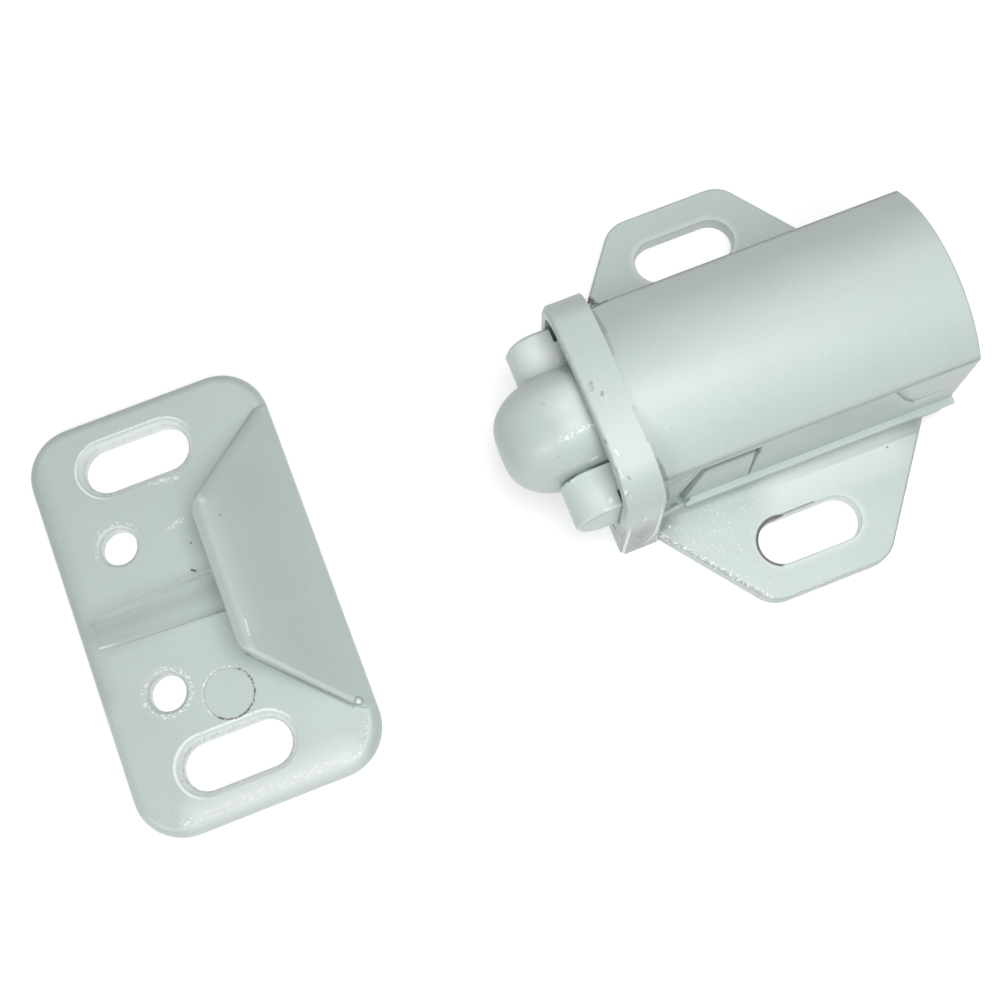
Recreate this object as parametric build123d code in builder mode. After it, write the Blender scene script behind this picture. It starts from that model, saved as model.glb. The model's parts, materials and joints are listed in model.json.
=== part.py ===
from build123d import *
import os

# Roller catch for a cabinet door: the catch body with its sprung roller, and its strike plate.
# Millimetres. The origin is on the mounting plane under the barrel's centre line, midway
# between the two screw slots. +X points to the closed rear end, the roller looks along -X,
# and +Z points away from the cabinet wall. The strike plate lies in front, face up.

# Screw slots of the body
slot_spacing = 32.0
ear_slot_width = 4.7
ear_slot_length = 10.7

# Housing, lengthwise
body_front = -18.1
body_rear = 17.9
collar_length = 3.8
rear_wall = 1.8

# Housing, crosswise
barrel_half_width = 9.15
barrel_crease_z = 15.7
barrel_top_z = 19.7
collar_step = 1.6
collar_flare = 0.45
collar_rise = 0.1
collar_shoulder_drop = 1.65
collar_shoulder_radius = 4.3
collar_wall = 1.1
wall = 1.25
roof_crease_drop = 0.4
floor_thickness = 2.0
mouth_rim_bevel = 0.4
rear_rim_bevel = 0.2

# Ledge and ears
ledge_z = 4.7
ledge_width = 0.65
ledge_thickness = 0.8
ear_thickness = 2.0
ear_margin = 5.5
ear_tip_half_length = 6.2
ear_root_half_length = 15.5
ear_corner_radius = 3.2
ear_root_radius = 1.7
ear_bevel = 0.25
slot_bevel = 0.15

# Retaining tongue in each side wall
tongue_top_z = 14.8
tongue_rear_x = -3.95
tongue_front_top_x = -9.4
tongue_front_foot_x = -11.8
tongue_top_gap = 2.4
tongue_front_gap = 0.9
tongue_side_gap = 0.2
tongue_lean = 0.35
tongue_thickness = 1.0
tongue_hook = 0.7
tongue_hook_height = 1.0
tongue_root = 0.3
window_bevel_width = 0.95
window_bevel_depth = 0.35

# Shallow hollow in each side wall near the rear end
hollow_depth = 0.4
hollow_front_x = 9.3
hollow_foot_z = 8.2
hollow_length = 8.2
hollow_slant = 3.6
hollow_bow = 0.8

# Plunger, fork and roller
slide_gap = 0.12
travel = 3.4
stop_gap = 0.2
axle_x = -19.6
axle_z = 11.3
roller_radius = 6.9
roller_crown_radius = 7.0
roller_shoulder_y = 4.1
roller_half_length = 4.75
roller_end_radius = 4.2
trunnion_radius = 1.5
trunnion_length = 2.0
trunnion_gap = 0.06
side_play = 0.2
arm_reach = 2.8
arm_drop = 0.8
arm_half_height = 3.2
arm_outer_bevel = 0.4
arm_inner_bevel = 0.25
rail_height = 10.6
plunger_rear = 1.0
rail_lead = 1.5
web_thickness = 4.0
spring_seat = 2.2
roller_clearance = 0.5
spring_tube_radius = 5.0
spring_pocket_radius = 3.6
spring_radius = 3.2
wire_radius = 0.35
spring_end_gap = 0.05
spring_turns = 6
spigot_radius = 2.0
spigot_length = 3.0

# Strike plate
strike_x = -58.7
strike_width = 25.2
strike_length = 43.5
strike_thickness = 2.0
strike_corner = 5.0
strike_edge_radius = 1.2
strike_slot_offset = -1.6
strike_slot_width = 4.8
strike_slot_length = 11.0
strike_hole_offset = -6.05
strike_hole_spacing = 15.7
strike_hole_radius = 1.85
strike_slot_bevel = 0.7
strike_hole_bevel = 0.4
ridge_offset = 2.6
ridge_z = 8.0
ridge_half_length = 7.4
ridge_radius = 1.6
ridge_chamfer_height = 0.5
ridge_chamfer_depth = 0.9
ridge_corner_radius = 1.8
crest_radius = 0.4
ramp_foot_z = 1.8
ramp_flare_end = 1.1
ramp_corner_gap = 0.15
ramp_flare_radius = 1.5
ramp_wall = 1.7
channel_depth = 0.6
channel_start_depth = 0.05
channel_start_offset = -10.8
channel_start_half_width = 1.7
channel_end_half_width = 2.4

cut_margin = 1.0
collar_rear = body_front + collar_length
collar_half_width = barrel_half_width + collar_step
collar_top_z = barrel_top_z + collar_rise
collar_shoulder_z = collar_top_z - collar_shoulder_drop
cavity_half_width = barrel_half_width - wall
cavity_crease_z = barrel_crease_z - roof_crease_drop
cavity_top_z = barrel_top_z - wall
mouth_half_width = collar_half_width - collar_wall
mouth_top_z = collar_top_z - collar_wall
mouth_shoulder_z = collar_shoulder_z - collar_wall
mouth_shoulder_radius = collar_shoulder_radius - collar_wall
ear_reach = slot_spacing / 2 + ear_margin
arm_inner = roller_half_length + side_play
arm_outer = mouth_half_width - side_play
arm_z = axle_z - arm_drop
arm_front = axle_x - arm_reach
rail_outer = cavity_half_width - slide_gap
rail_foot_z = floor_thickness + slide_gap
rail_top_z = rail_foot_z + rail_height
shoulder_x = collar_rear - travel - stop_gap
web_x = axle_x + roller_radius + roller_clearance
spring_front_x = web_x + spring_seat
spring_rear_x = body_rear - rear_wall
ledge_half_width = barrel_half_width + ledge_width
ledge_foot_z = ledge_z - ledge_thickness
body_length = body_rear - body_front
strike_edge_x = strike_x + strike_width / 2
ridge_x = strike_x + ridge_offset
ramp_foot_half_length = strike_length / 2 - strike_corner - ramp_corner_gap

os.makedirs("parts", exist_ok=True)


def arch(half_width, foot_z, crease_z, top_z, shoulder_radius=0, flare=0):
    # flat foot, upright sides and one arc for a roof, the two shoulders rounded if asked,
    # the sides spreading by the flare towards the foot
    with BuildSketch() as outline:
        with BuildLine():
            Polyline(
                (half_width, crease_z),
                (half_width + flare, foot_z),
                (-half_width - flare, foot_z),
                (-half_width, crease_z),
            )
            ThreePointArc((half_width, crease_z), (0, top_z), (-half_width, crease_z))
        make_face()
        if shoulder_radius:
            fillet(outline.vertices().group_by(Axis.Y)[-1], shoulder_radius)
    return outline.sketch


# Tongues that hold the plunger in: each leans inwards from the ledge and ends in a hook
tongue_top = tongue_top_z - tongue_top_gap
tongue_foot_z = ledge_z - tongue_root
tongue_slant = (tongue_front_top_x - tongue_front_foot_x) / (tongue_top_z - ledge_z)
tongue_tip = barrel_half_width - tongue_lean
hook_tip = cavity_half_width - tongue_hook
tongue_front_x = tongue_front_foot_x + tongue_front_gap
with BuildPart() as tongues:
    with BuildSketch(Plane.YZ.offset(tongue_front_foot_x)):
        with BuildLine():
            Polyline(
                (barrel_half_width, tongue_foot_z),
                (barrel_half_width - tongue_thickness, tongue_foot_z),
                (hook_tip, tongue_top - tongue_hook_height),
                (hook_tip, tongue_top),
                (tongue_tip, tongue_top),
                close=True,
            )
        make_face()
        mirror(about=Plane.YZ)
    extrude(amount=tongue_rear_x - tongue_front_foot_x)
    # the slanted front edge, seen from the side
    with BuildSketch(Plane.XZ):
        with BuildLine():
            Polyline(
                (tongue_rear_x - tongue_side_gap, tongue_foot_z),
                (tongue_rear_x - tongue_side_gap, tongue_top),
                (
                    tongue_front_top_x + tongue_front_gap - tongue_slant * tongue_top_gap,
                    tongue_top,
                ),
                (tongue_front_x, ledge_z),
                (tongue_front_x, tongue_foot_z),
                close=True,
            )
        make_face()
    extrude(amount=barrel_half_width, both=True, mode=Mode.INTERSECT)

# Housing: barrel, collar, ledges, ears and tongues in one moulding
with BuildPart() as housing:
    # ears: a tapered plate each side, its outer corners rounded and its upper rims bevelled
    ear_slope = (ear_root_half_length - ear_tip_half_length) / (ear_reach - barrel_half_width)
    with BuildSketch() as ear_face:
        with BuildLine():
            Polyline(
                (ear_root_half_length + ear_slope * wall, barrel_half_width - wall),
                (ear_tip_half_length, ear_reach),
                (-ear_tip_half_length, ear_reach),
                (-ear_root_half_length - ear_slope * wall, barrel_half_width - wall),
                close=True,
            )
        make_face()
        fillet(ear_face.vertices().group_by(Axis.Y)[-1], ear_corner_radius)
        mirror(about=Plane.XZ)
    extrude(amount=ear_thickness)
    chamfer(housing.edges().group_by(Axis.Z)[-1], ear_bevel)

    # screw slots, one in each ear, their upper rims bevelled
    with BuildSketch():
        with GridLocations(0, slot_spacing, 1, 2):
            SlotOverall(ear_slot_length, ear_slot_width)
    extrude(amount=ear_thickness, mode=Mode.SUBTRACT)
    for top_face in housing.faces().filter_by(Axis.Z).group_by(Axis.Z)[-1]:
        for wire in top_face.inner_wires():
            chamfer(wire.edges(), slot_bevel)

    # barrel, across which a sketch's x runs along +Y and its y along +Z
    with BuildSketch(Plane.YZ.offset(body_front)):
        add(arch(barrel_half_width, 0, barrel_crease_z, barrel_top_z))
    extrude(amount=body_length)

    # swept foot of each side wall where it runs out into the ear
    root_line = [
        e
        for e in housing.edges().filter_by(Axis.X)
        if abs(e.center().Z - ear_thickness) < 0.01
        and abs(abs(e.center().Y) - barrel_half_width) < 0.01
    ]
    fillet(root_line, ear_root_radius)

    # collar round the mouth, its shoulders rounded and its sides drafted
    with BuildSketch(Plane.YZ.offset(body_front)):
        add(
            arch(
                collar_half_width,
                0,
                collar_shoulder_z,
                collar_top_z,
                collar_shoulder_radius,
                collar_flare,
            )
        )
    extrude(amount=collar_length)

    # ledge along each side wall, from the window's foot to the closed end
    with BuildSketch(Plane.XY.offset(ledge_foot_z)):
        with Locations(((tongue_front_x + body_rear) / 2, 0)):
            Rectangle(body_rear - tongue_front_x, 2 * ledge_half_width)
    extrude(amount=ledge_thickness)

    # bevelled outer rims at the closed end and round the mouth
    rear_rim = [
        e for e in housing.faces().sort_by(Axis.X)[-1].edges() if e.center().Z > ledge_z + 1
    ]
    chamfer(rear_rim, rear_rim_bevel)
    front_rim = [e for e in housing.faces().sort_by(Axis.X)[0].edges() if e.center().Z > 0.5]
    chamfer(front_rim, mouth_rim_bevel)

    # cavity of the barrel, and the mouth: wide round the fork's arms, narrow below them
    with BuildSketch(Plane.YZ.offset(body_front)):
        add(arch(cavity_half_width, floor_thickness, cavity_crease_z, cavity_top_z))
    extrude(amount=spring_rear_x - body_front, mode=Mode.SUBTRACT)
    with BuildSketch(Plane.YZ.offset(body_front)):
        add(
            arch(
                mouth_half_width,
                arm_z - arm_half_height - side_play,
                mouth_shoulder_z,
                mouth_top_z,
                mouth_shoulder_radius,
            )
        )
    extrude(amount=collar_length, mode=Mode.SUBTRACT)

    # spigot that centres the spring on the rear wall
    with BuildSketch(Plane.YZ.offset(spring_rear_x)):
        with Locations((0, axle_z)):
            Circle(spigot_radius)
    extrude(amount=-spigot_length)

    # window round each tongue, open down to the ledge's underside in front of the tongue,
    # its slanted side bevelled, and the shallow hollow behind it that runs out to the rear
    window_foot_x = tongue_front_foot_x - tongue_slant * ledge_thickness
    slant_stretch = (1 + tongue_slant**2) ** 0.5
    bevel_run = window_bevel_width * tongue_slant * slant_stretch
    bevel_reach = ((window_bevel_width * slant_stretch) ** 2 + window_bevel_depth**2) ** 0.5
    for side in (-1, 1):
        with BuildSketch(Plane.XZ.offset(-side * (cavity_half_width - 0.1))):
            with BuildLine():
                Polyline(
                    (tongue_rear_x, ledge_z),
                    (tongue_rear_x, tongue_top_z),
                    (tongue_front_top_x, tongue_top_z),
                    (window_foot_x, ledge_foot_z),
                    (tongue_front_x, ledge_foot_z),
                    (tongue_front_x, ledge_z),
                    close=True,
                )
            make_face()
        extrude(amount=-side * (wall + 0.2), mode=Mode.SUBTRACT)
        bevel_plane = Plane(
            origin=(
                window_foot_x - window_bevel_width * slant_stretch**2,
                side * barrel_half_width,
                ledge_foot_z,
            ),
            x_dir=(
                window_bevel_width,
                -side * window_bevel_depth,
                -window_bevel_width * tongue_slant,
            ),
            z_dir=(
                -side * window_bevel_depth,
                -window_bevel_width * slant_stretch**2,
                side * window_bevel_depth * tongue_slant,
            ),
        )
        with BuildSketch(bevel_plane):
            with Locations((0, bevel_run)):
                Rectangle(
                    bevel_reach + wall,
                    (tongue_top_z - ledge_foot_z) * slant_stretch,
                    align=Align.MIN,
                )
        extrude(amount=-side * cut_margin, mode=Mode.SUBTRACT)
        hollow_plane = Plane(
            origin=(hollow_front_x, side * (barrel_half_width - hollow_depth), 0),
            x_dir=(hollow_length, side * hollow_depth, 0),
            z_dir=(side * hollow_depth, -hollow_length, 0),
        )
        with BuildSketch(hollow_plane):
            with BuildLine():
                Polyline(
                    (0, barrel_crease_z - rear_rim_bevel),
                    (hollow_slant / 2, (barrel_crease_z + hollow_foot_z) / 2 - hollow_bow),
                    (hollow_slant, hollow_foot_z),
                    (hollow_length, hollow_foot_z),
                    (hollow_length, barrel_crease_z - rear_rim_bevel),
                    close=True,
                )
            make_face()
        extrude(amount=-side * cut_margin, mode=Mode.SUBTRACT)
    add(tongues.part)


# Plunger: two long rails joined by a web, with the fork's arms in front and a spring tube behind
groove_front_x = tongue_front_foot_x - travel
groove_rear_x = tongue_rear_x - tongue_side_gap + slide_gap / 2
groove_floor = hook_tip - side_play
with BuildPart() as plunger:
    # both rails in one outline, seen from the side, then trimmed to the cavity's section
    with BuildSketch(Plane.XZ):
        with BuildLine():
            Polyline(
                (arm_front + arm_half_height, arm_z + arm_half_height),
                (collar_rear, arm_z + arm_half_height),
                (collar_rear + rail_lead, rail_top_z),
                (plunger_rear, rail_top_z),
                (plunger_rear, rail_foot_z),
                (collar_rear + rail_lead, rail_foot_z),
                (collar_rear, arm_z - arm_half_height),
                (arm_front + arm_half_height, arm_z - arm_half_height),
            )
            ThreePointArc(
                (arm_front + arm_half_height, arm_z - arm_half_height),
                (arm_front, arm_z),
                (arm_front + arm_half_height, arm_z + arm_half_height),
            )
        make_face()
    extrude(amount=arm_outer, both=True)
    # narrower behind the mouth, so that it slides in the barrel
    with BuildSketch(Plane.YZ.offset(shoulder_x)):
        Rectangle(3 * arm_outer, 3 * barrel_top_z)
        add(
            arch(rail_outer, rail_foot_z, cavity_crease_z, cavity_top_z - slide_gap),
            mode=Mode.SUBTRACT,
        )
    extrude(amount=body_length, mode=Mode.SUBTRACT)
    # the fork's gap, and the hollow behind the web
    web_rear = web_x + web_thickness
    with BuildSketch(Plane.XY):
        with Locations(((web_x + arm_front - cut_margin) / 2, 0)):
            Rectangle(web_x - arm_front + cut_margin, 2 * arm_inner)
        with Locations(((web_rear + plunger_rear + cut_margin) / 2, 0)):
            Rectangle(plunger_rear + cut_margin - web_rear, 2 * arm_inner)
    extrude(amount=barrel_top_z, mode=Mode.SUBTRACT)
    # tube for the spring, open to the rear
    with BuildSketch(Plane.YZ.offset(web_x + web_thickness / 2)):
        with Locations((0, axle_z)):
            Circle(spring_tube_radius)
    extrude(amount=plunger_rear - web_x - web_thickness / 2)
    with BuildSketch(Plane.YZ.offset(spring_front_x)):
        with Locations((0, axle_z)):
            Circle(spring_pocket_radius)
    extrude(amount=plunger_rear + cut_margin - spring_front_x, mode=Mode.SUBTRACT)
    # side grooves that the housing's tongues run in
    for side in (-1, 1):
        with BuildSketch(Plane.XZ.offset(-side * groove_floor)):
            with Locations(((groove_front_x + groove_rear_x) / 2, (ledge_z + tongue_top_z) / 2)):
                Rectangle(groove_rear_x - groove_front_x, tongue_top_z - ledge_z)
        extrude(amount=-side * (barrel_half_width - groove_floor), mode=Mode.SUBTRACT)
    # bevelled rims of the fork arms, wider on the outside
    for y, bevel in ((arm_outer, arm_outer_bevel), (arm_inner, arm_inner_bevel)):
        arm_rims = [
            e
            for e in plunger.edges()
            if abs(abs(e.center().Y) - y) < 0.01
            and e.center().X < shoulder_x
            and (e.geom_type == GeomType.CIRCLE or abs((e % 0.5).Z) < 0.1)
        ]
        chamfer(arm_rims, bevel)
    # blind sockets for the roller's trunnions
    with BuildSketch(Plane.XZ):
        with Locations((axle_x, axle_z)):
            Circle(trunnion_radius + trunnion_gap)
    extrude(amount=arm_inner + trunnion_length, both=True, mode=Mode.SUBTRACT)


# Roller: crowned wheel with a trunnion at each end, turned about a line along Y
roller_shoulder_radius = (roller_crown_radius**2 - roller_shoulder_y**2) ** 0.5
with BuildPart() as roller:
    with BuildSketch(Plane.XY.offset(axle_z)):
        # a ball with its band trimmed flat, and a cone down to each end face
        with BuildLine():
            Polyline(
                (axle_x - roller_radius, -roller_shoulder_y),
                (axle_x - roller_radius, roller_shoulder_y),
                (axle_x - roller_shoulder_radius, roller_shoulder_y),
                (axle_x - roller_end_radius, roller_half_length),
                (axle_x, roller_half_length),
                (axle_x, -roller_half_length),
                (axle_x - roller_end_radius, -roller_half_length),
                (axle_x - roller_shoulder_radius, -roller_shoulder_y),
                close=True,
            )
        make_face()
        with Locations((axle_x, 0)):
            Circle(roller_crown_radius, mode=Mode.INTERSECT)
    revolve(axis=Axis((axle_x, 0, axle_z), (0, 1, 0)))
    with BuildSketch(Plane.XZ):
        with Locations((axle_x, axle_z)):
            Circle(trunnion_radius)
    extrude(amount=roller_half_length + trunnion_length, both=True)


# Spring: wire wound about the barrel's centre line, its round section drawn with six sides
spring_start = spring_front_x + wire_radius + spring_end_gap
spring_end = spring_rear_x - wire_radius - spring_end_gap
with BuildPart() as plunger_spring:
    with BuildLine() as coil:
        Helix(
            pitch=(spring_end - spring_start) / spring_turns,
            height=spring_end - spring_start,
            radius=spring_radius - wire_radius,
            center=(spring_start, 0, axle_z),
            direction=(1, 0, 0),
        )
    with BuildSketch(Plane(origin=coil.line @ 0, z_dir=coil.line % 0)):
        RegularPolygon(wire_radius, 6)
    sweep()


def ramp_block(inset):
    # tapered in plan and cut along the slope, every face moved inwards by the inset
    with BuildPart() as block:
        with BuildSketch(Plane.XY.offset(-2 * inset)) as plan:
            with BuildLine():
                Polyline(
                    (ridge_x, ridge_half_length),
                    (strike_edge_x - ramp_flare_end, ramp_foot_half_length),
                    (strike_edge_x, ramp_foot_half_length),
                    (strike_edge_x, -ramp_foot_half_length),
                    (strike_edge_x - ramp_flare_end, -ramp_foot_half_length),
                    (ridge_x, -ridge_half_length),
                    close=True,
                )
            make_face()
            fillet(plan.vertices().group_by(Axis.X)[0], ridge_corner_radius)
            fillet(plan.vertices().group_by(Axis.X)[-2], ramp_flare_radius)
            if inset:
                offset(amount=-inset)
        extrude(amount=ridge_z + 3 * inset)
        with BuildSketch(Plane.XZ) as profile:
            with BuildLine():
                Polyline(
                    (ridge_x, -2 * inset),
                    (ridge_x, ridge_z - ridge_chamfer_height),
                    (ridge_x + ridge_chamfer_depth, ridge_z),
                    (strike_edge_x, ramp_foot_z),
                    (strike_edge_x, -2 * inset),
                    close=True,
                )
            make_face()
            fillet(profile.vertices().group_by(Axis.Y)[-1], ridge_radius)
            if inset:
                offset(amount=-inset)
        extrude(amount=strike_length / 2, both=True, mode=Mode.INTERSECT)
        if not inset:
            # softened crest all round
            crest = [
                e
                for e in block.edges()
                if e.center().Z > ramp_foot_z
                and abs((e % 0.5).Z) < 0.95
                and (abs(e.center().Y) > 1 or e.center().X < ridge_x + 0.1)
            ]
            fillet(crest, crest_radius)
    return block.part


# Strike plate: rounded plate with slots, holes and the hollow ramp that the roller climbs
with BuildPart() as strike_plate:
    with BuildSketch():
        with Locations((strike_x, 0)):
            RectangleRounded(strike_width, strike_length, strike_corner)
    extrude(amount=strike_thickness)
    fillet(strike_plate.faces().sort_by(Axis.Z)[-1].edges(), strike_edge_radius)

    # shallow channel that deepens towards the ramp, one side of it sloping
    for x, depth, half_width in (
        (strike_x + channel_start_offset, channel_start_depth, channel_start_half_width),
        (ridge_x + ridge_chamfer_height, channel_depth, channel_end_half_width),
    ):
        with BuildSketch(Plane.YZ.offset(x)):
            with BuildLine():
                Polyline(
                    (-half_width, strike_thickness + 0.5),
                    (-half_width, strike_thickness - depth),
                    (half_width - channel_depth, strike_thickness - depth),
                    (half_width, strike_thickness),
                    (half_width, strike_thickness + 0.5),
                    close=True,
                )
            make_face()
    loft(mode=Mode.SUBTRACT)

    add(ramp_block(0))
    add(ramp_block(ramp_wall), mode=Mode.SUBTRACT)

    # screw slots and round holes, their upper rims bevelled
    with BuildSketch():
        with Locations((strike_x + strike_slot_offset, 0)):
            with GridLocations(0, slot_spacing, 1, 2):
                SlotOverall(strike_slot_length, strike_slot_width)
    extrude(amount=strike_thickness, mode=Mode.SUBTRACT)
    with BuildSketch():
        with Locations((strike_x + strike_hole_offset, 0)):
            with GridLocations(0, strike_hole_spacing, 1, 2):
                Circle(strike_hole_radius)
    extrude(amount=strike_thickness, mode=Mode.SUBTRACT)
    top_face = strike_plate.faces().filter_by(Axis.Z).sort_by(Axis.Z)[-1]
    for wire in top_face.inner_wires():
        rim = wire.edges()
        is_slot = len(rim) > 2
        chamfer(rim, strike_slot_bevel if is_slot else strike_hole_bevel)


for piece, name in (
    (housing, "housing"),
    (plunger, "plunger"),
    (roller, "roller"),
    (plunger_spring, "plunger_spring"),
    (strike_plate, "strike_plate"),
):
    piece.part.label = name
    export_step(piece.part, "parts/" + name + ".step")
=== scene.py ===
"""A plastic roller catch for a cabinet door, with its strike plate lying in front of it.

Metres, in the part's own frame: origin on the mounting plane under the barrel's centre line,
+X towards the closed end, +Z away from the mounting plane. Lengths given to the functions that
make or mark a piece are in millimetres.
"""

import json

import bpy
import numpy as np
from mathutils import Matrix, Vector

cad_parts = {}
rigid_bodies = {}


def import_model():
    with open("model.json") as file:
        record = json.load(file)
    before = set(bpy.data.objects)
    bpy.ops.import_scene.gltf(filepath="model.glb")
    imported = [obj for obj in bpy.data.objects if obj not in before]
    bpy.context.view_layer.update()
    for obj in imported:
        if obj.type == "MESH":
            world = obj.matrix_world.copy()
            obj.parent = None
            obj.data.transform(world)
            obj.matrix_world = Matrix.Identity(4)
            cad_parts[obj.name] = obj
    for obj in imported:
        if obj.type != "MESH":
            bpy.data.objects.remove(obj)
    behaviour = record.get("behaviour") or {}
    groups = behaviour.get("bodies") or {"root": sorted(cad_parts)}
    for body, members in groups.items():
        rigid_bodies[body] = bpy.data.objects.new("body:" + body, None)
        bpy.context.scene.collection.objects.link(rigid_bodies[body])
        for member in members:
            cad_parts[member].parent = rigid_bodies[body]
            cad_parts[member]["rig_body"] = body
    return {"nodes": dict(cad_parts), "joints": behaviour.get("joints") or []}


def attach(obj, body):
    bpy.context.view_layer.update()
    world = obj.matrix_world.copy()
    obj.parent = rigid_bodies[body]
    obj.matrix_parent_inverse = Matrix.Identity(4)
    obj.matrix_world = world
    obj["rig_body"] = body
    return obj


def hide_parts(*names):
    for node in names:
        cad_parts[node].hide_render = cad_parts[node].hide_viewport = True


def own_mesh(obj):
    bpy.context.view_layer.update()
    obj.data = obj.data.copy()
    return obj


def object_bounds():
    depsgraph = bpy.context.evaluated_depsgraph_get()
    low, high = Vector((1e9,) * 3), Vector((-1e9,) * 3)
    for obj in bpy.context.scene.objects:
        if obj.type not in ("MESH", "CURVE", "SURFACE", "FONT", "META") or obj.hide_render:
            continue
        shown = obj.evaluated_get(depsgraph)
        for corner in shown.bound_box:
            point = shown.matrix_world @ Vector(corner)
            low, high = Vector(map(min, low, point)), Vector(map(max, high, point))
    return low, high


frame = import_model()
cad_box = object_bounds()
nodes = frame["nodes"]
joints = {joint["name"]: joint for joint in frame["joints"]}
scene = bpy.context.scene
mm = 0.001
# a length or an area below tiny counts as nought
tiny = 1e-18
# in degrees: faces of a copied moulding that turn less than soft_below run together, and
# faces of a made piece that turn more than edge_above keep an edge between them
soft_below = 50
edge_above = 40


# Mesh making


def mesh_piece(name, points, faces, crease=None):
    """A smooth-shaded piece from an array of points and a list of faces, placed by its mesh;
    edges that turn by more than the crease angle stay sharp."""
    mesh = bpy.data.meshes.new(name)
    mesh.from_pydata(points.tolist(), [], faces)
    mesh.polygons.foreach_set("use_smooth", np.ones(len(faces), dtype=bool))
    if crease:
        mesh.set_sharp_from_angle(angle=np.radians(crease))
    mesh.update()
    piece = bpy.data.objects.new(name, mesh)
    scene.collection.objects.link(piece)
    return piece


def merged_triangles(source):
    """A CAD mesh's points, with those at one place made one, and its triangles, without those
    that merging leaves with two corners at one point."""
    steps_per_metre = 1e7
    place = np.empty(len(source.vertices) * 3)
    source.vertices.foreach_get("co", place)
    place = place.reshape(-1, 3)
    corner = np.empty(len(source.loops), dtype=np.int64)
    source.loops.foreach_get("vertex_index", corner)
    whole_steps = np.round(place * steps_per_metre).astype(np.int64)
    _, first_seen, merged = np.unique(whole_steps, axis=0, return_index=True, return_inverse=True)
    faces = merged.reshape(-1)[corner].reshape(-1, 3)
    first, second, third = faces.T
    return place[first_seen], faces[(first != second) & (second != third) & (third != first)]


def corner_weights(ends, normal, double_area):
    """Each triangle's angle at a corner times the area of the flat that it lies in, for every
    corner. A flat is the triangles with one normal and one height along it, in small steps."""
    normal_steps = 200
    height_step = 2e-2 * mm
    height = np.round((normal * ends[:, 0]).sum(1) / height_step)
    flat_key = np.column_stack((np.round(normal * normal_steps), height)).astype(np.int64)
    flat = np.unique(flat_key, axis=0, return_inverse=True)[1].reshape(-1)
    flat_area = np.bincount(flat, weights=double_area)[flat]
    ahead = np.roll(ends, -1, axis=1) - ends
    behind = np.roll(ends, 1, axis=1) - ends
    lengths = np.linalg.norm(ahead, axis=2) * np.linalg.norm(behind, axis=2)
    cosine = (ahead * behind).sum(2) / np.maximum(lengths, tiny)
    return (np.arccos(np.clip(cosine, -1, 1)) * flat_area[:, None]).reshape(-1)


def soft_normals(points, faces, limit):
    """The normal at every corner of every triangle: the sum, over the triangles that meet
    there and turn less than the limit from this one, of each normal times that corner's
    weight, so that wide flats stay flat and the narrow bevels between them turn from one to
    the other."""
    ends = points[faces]
    cross = np.cross(ends[:, 1] - ends[:, 0], ends[:, 2] - ends[:, 0])
    double_area = np.linalg.norm(cross, axis=1)
    normal = cross / np.maximum(double_area, tiny)[:, None]
    weight = corner_weights(ends, normal, double_area)

    # every pair of corners at one point, as the arrays one and other
    at_point = faces.reshape(-1)
    face_of = np.repeat(np.arange(len(faces)), 3)
    order = np.argsort(at_point, kind="stable")
    count = np.bincount(at_point, minlength=len(points))
    start = np.cumsum(count) - count
    meets = count[at_point]
    one = np.repeat(np.arange(len(at_point)), meets)
    step = np.arange(len(one)) - np.repeat(np.cumsum(meets) - meets, meets)
    other = order[start[at_point[one]] + step]

    turn = (normal[face_of[one]] * normal[face_of[other]]).sum(1)
    share = np.where(turn > np.cos(np.radians(limit)), weight[other], 0)
    pull = share[:, None] * normal[face_of[other]]
    corners = len(at_point)
    soft = np.column_stack([np.bincount(one, weights=part, minlength=corners) for part in pull.T])
    length = np.linalg.norm(soft, axis=1)[:, None]
    return np.where(length > tiny, soft / np.maximum(length, tiny), normal[face_of])


def moulded_copy(node_name, piece_name, limit):
    """A merged copy of a CAD node, with the soft edges of a moulding, that stands for the node."""
    points, faces = merged_triangles(nodes[node_name].data)
    piece = mesh_piece(piece_name, points, faces.tolist())
    piece.data.normals_split_custom_set(soft_normals(points, faces, limit).tolist())
    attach(piece, nodes[node_name]["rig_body"])
    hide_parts(node_name)
    return piece


def turned_piece(name, profile, centre, turns):
    """A closed body turned about the Y axis through its centre: a profile of (y, r) rows from
    end to end, each row one ring of equal steps, with a single point closing each end."""
    profile = np.asarray(profile) * mm
    angle = np.linspace(0, 2 * np.pi, turns, endpoint=False)
    y, r = profile[:, 0, None], profile[:, 1, None]
    rings = np.stack((r * np.cos(angle), np.repeat(y, turns, axis=1), r * np.sin(angle)), axis=2)
    rings = rings.reshape(-1, 3)
    tips = np.array([[0, profile[0, 0], 0], [0, profile[-1, 0], 0]])
    points = np.vstack((rings, tips)) + np.array(centre) * mm
    row = np.arange(len(profile) - 1)[:, None] * turns
    next_row = row + turns
    here = np.arange(turns)
    after = (here + 1) % turns
    sides = np.stack((row + here, next_row + here, next_row + after, row + after), axis=2)
    low_tip, high_tip = len(rings), len(rings) + 1
    last = (len(profile) - 1) * turns
    faces = sides.reshape(-1, 4).tolist()
    faces += np.column_stack((here, after, np.full(turns, low_tip))).tolist()
    faces += np.column_stack((last + after, last + here, np.full(turns, high_tip))).tolist()
    return mesh_piece(name, points, faces, edge_above)


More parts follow.
